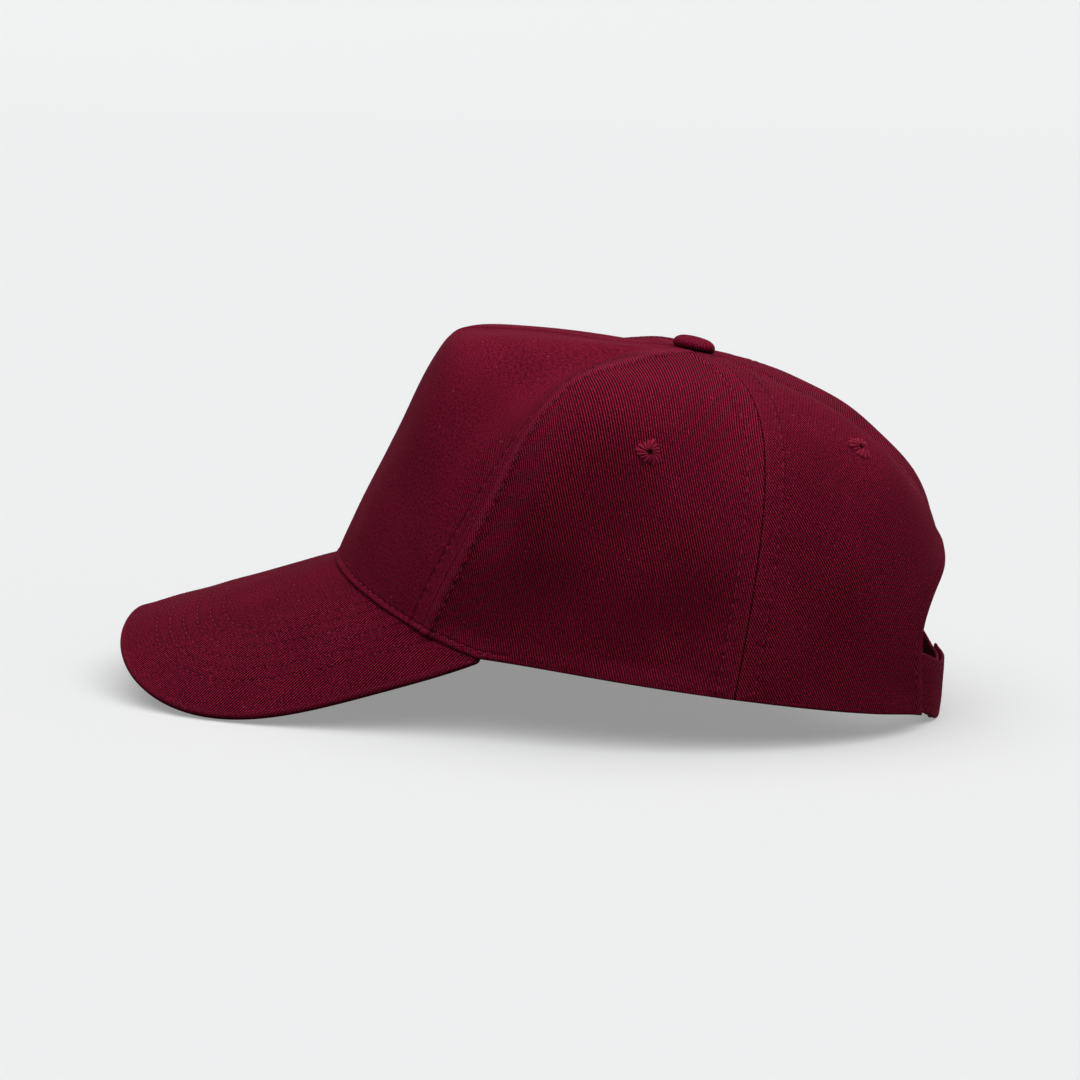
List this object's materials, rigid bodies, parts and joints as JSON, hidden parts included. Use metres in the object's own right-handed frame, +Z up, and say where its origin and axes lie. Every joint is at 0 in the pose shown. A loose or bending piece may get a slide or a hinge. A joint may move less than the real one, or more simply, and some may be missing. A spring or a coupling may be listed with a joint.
{
  "type": "five panel cap",
  "caption": "Cotton twill cap with an upright front panel, arched peak, covered button, sewn air holes and an adjustable strap across a half-moon opening at the back.",
  "frame": {"origin": "centre of the outline's box at the surface that the cap rests on", "axes": "+Z up, the peak points along -X, the back of the head is towards +X, and the wearer's left is -Y"},
  "size_m": [0.2734, 0.161, 0.122],
  "materials": {
    "front_twill": "stiffened cotton twill, fine diagonal ribs, matt with a soft sheen",
    "panel_twill": "cotton twill, fine diagonal ribs, matt with a soft sheen",
    "peak_twill": "cotton twill stretched over a stiff core and quilted with rows of stitching",
    "button_twill": "cotton twill drawn tight over a domed button",
    "thread": "dense satin stitching in matching thread",
    "strap_twill": "folded cotton twill band with stitched edges"
  },
  "bodies": {
    "root": {"front_panel": "front_twill", "side_panel_left": "panel_twill", "side_panel_right": "panel_twill", "back_panel_left": "panel_twill", "back_panel_right": "panel_twill", "peak": "peak_twill", "button": "button_twill", "eyelet_side_left": "thread", "eyelet_side_right": "thread", "eyelet_back_left": "thread", "eyelet_back_right": "thread", "strap_left": "strap_twill", "strap_right": "strap_twill"}
  },
  "joints": []
}
